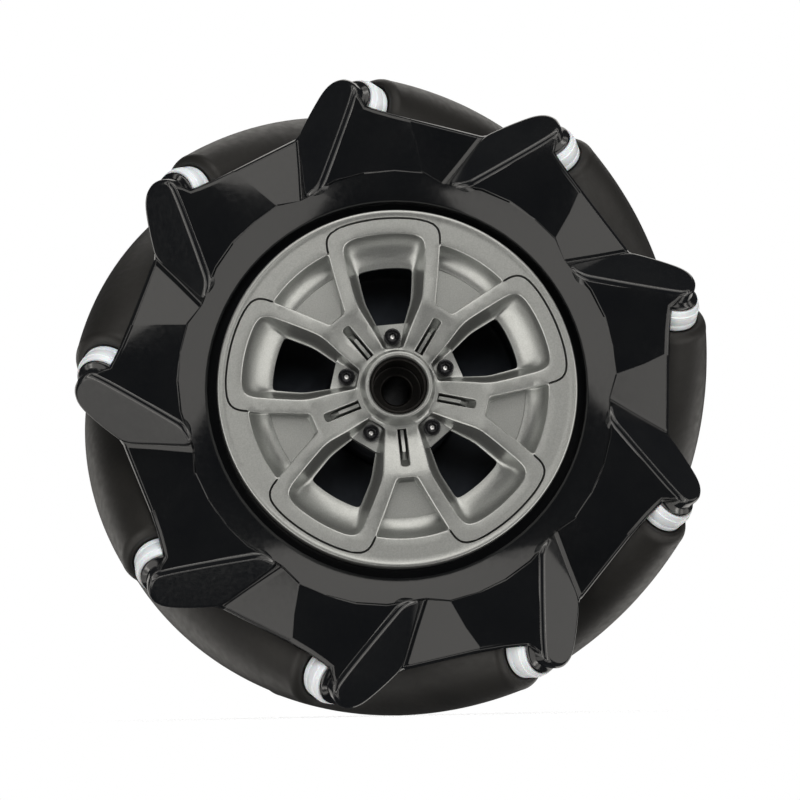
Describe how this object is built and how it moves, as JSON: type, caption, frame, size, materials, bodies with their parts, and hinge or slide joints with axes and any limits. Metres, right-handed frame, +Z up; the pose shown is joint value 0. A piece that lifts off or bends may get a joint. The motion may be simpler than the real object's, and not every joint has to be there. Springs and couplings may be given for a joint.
{
  "type": "mecanum wheel",
  "caption": "Mecanum wheel: free barrel rollers at 45 degrees held between two faceted star shells, with a spoked silver cover and a shaft hub.",
  "frame": {"origin": "the wheel's centre, on its axle and midway between its two hub ends", "axes": "the wheel turns about Y, its silver cover faces -Y and its hub seat faces +Y; +Z is up, and the wheel stands on roller 1 at z = -0.1016"},
  "size_m": [0.2028, 0.107, 0.203],
  "materials": {
    "gloss_black": "high gloss black moulding",
    "satin_silver": "satin silver with fine grain",
    "drum_black": "satin black moulding",
    "anodised_black": "black anodised",
    "screw_black": "black oxide",
    "axle_steel": "ground",
    "roller_rubber": "satin black",
    "white_nylon": "satin white",
    "bearing_steel": "polished"
  },
  "bodies": {
    "wheel_frame": {"front_shell": "gloss_black", "rear_shell": "gloss_black", "wheel_cover": "satin_silver", "hub_body": "drum_black", "hub_coupling": "anodised_black", "cover_screw_1": "screw_black", "cover_screw_2": "screw_black", "cover_screw_3": "screw_black", "cover_screw_4": "screw_black", "cover_screw_5": "screw_black", "tie_bolt_1": "screw_black", "tie_bolt_2": "screw_black", "tie_bolt_3": "screw_black", "tie_bolt_4": "screw_black", "tie_bolt_5": "screw_black", "roller_axle_1": "axle_steel", "roller_axle_2": "axle_steel", "roller_axle_3": "axle_steel", "roller_axle_4": "axle_steel", "roller_axle_5": "axle_steel", "roller_axle_6": "axle_steel", "roller_axle_7": "axle_steel", "roller_axle_8": "axle_steel", "roller_axle_9": "axle_steel"},
    "roller_1": {"roller_tyre_1": "roller_rubber", "roller_core_1": "white_nylon", "roller_bearing_front_1": "bearing_steel", "roller_bearing_rear_1": "bearing_steel"},
    "roller_2": {"roller_tyre_2": "roller_rubber", "roller_core_2": "white_nylon", "roller_bearing_front_2": "bearing_steel", "roller_bearing_rear_2": "bearing_steel"},
    "roller_3": {"roller_tyre_3": "roller_rubber", "roller_core_3": "white_nylon", "roller_bearing_front_3": "bearing_steel", "roller_bearing_rear_3": "bearing_steel"},
    "roller_4": {"roller_tyre_4": "roller_rubber", "roller_core_4": "white_nylon", "roller_bearing_front_4": "bearing_steel", "roller_bearing_rear_4": "bearing_steel"},
    "roller_5": {"roller_tyre_5": "roller_rubber", "roller_core_5": "white_nylon", "roller_bearing_front_5": "bearing_steel", "roller_bearing_rear_5": "bearing_steel"},
    "roller_6": {"roller_tyre_6": "roller_rubber", "roller_core_6": "white_nylon", "roller_bearing_front_6": "bearing_steel", "roller_bearing_rear_6": "bearing_steel"},
    "roller_7": {"roller_tyre_7": "roller_rubber", "roller_core_7": "white_nylon", "roller_bearing_front_7": "bearing_steel", "roller_bearing_rear_7": "bearing_steel"},
    "roller_8": {"roller_tyre_8": "roller_rubber", "roller_core_8": "white_nylon", "roller_bearing_front_8": "bearing_steel", "roller_bearing_rear_8": "bearing_steel"},
    "roller_9": {"roller_tyre_9": "roller_rubber", "roller_core_9": "white_nylon", "roller_bearing_front_9": "bearing_steel", "roller_bearing_rear_9": "bearing_steel"}
  },
  "joints": [
    {"name": "roller_1_spin", "type": "hinge", "parent": "wheel_frame", "child": "roller_1", "pos_m": [0, 0, -0.08159], "axis": [0.7071, -0.7071, 0], "continuous": true},
    {"name": "roller_2_spin", "type": "hinge", "parent": "wheel_frame", "child": "roller_2", "pos_m": [0.05244, 0, -0.0625], "axis": [0.5417, -0.7071, 0.4545], "continuous": true},
    {"name": "roller_3_spin", "type": "hinge", "parent": "wheel_frame", "child": "roller_3", "pos_m": [0.08034, 0, -0.01417], "axis": [0.1228, -0.7071, 0.6964], "continuous": true},
    {"name": "roller_4_spin", "type": "hinge", "parent": "wheel_frame", "child": "roller_4", "pos_m": [0.07065, 0, 0.04079], "axis": [-0.3536, -0.7071, 0.6124], "continuous": true},
    {"name": "roller_5_spin", "type": "hinge", "parent": "wheel_frame", "child": "roller_5", "pos_m": [0.0279, 0, 0.07666], "axis": [-0.6645, -0.7071, 0.2418], "continuous": true},
    {"name": "roller_6_spin", "type": "hinge", "parent": "wheel_frame", "child": "roller_6", "pos_m": [-0.0279, 0, 0.07666], "axis": [-0.6645, -0.7071, -0.2418], "continuous": true},
    {"name": "roller_7_spin", "type": "hinge", "parent": "wheel_frame", "child": "roller_7", "pos_m": [-0.07065, 0, 0.04079], "axis": [-0.3536, -0.7071, -0.6124], "continuous": true},
    {"name": "roller_8_spin", "type": "hinge", "parent": "wheel_frame", "child": "roller_8", "pos_m": [-0.08034, 0, -0.01417], "axis": [0.1228, -0.7071, -0.6964], "continuous": true},
    {"name": "roller_9_spin", "type": "hinge", "parent": "wheel_frame", "child": "roller_9", "pos_m": [-0.05244, 0, -0.0625], "axis": [0.5417, -0.7071, -0.4545], "continuous": true}
  ]
}
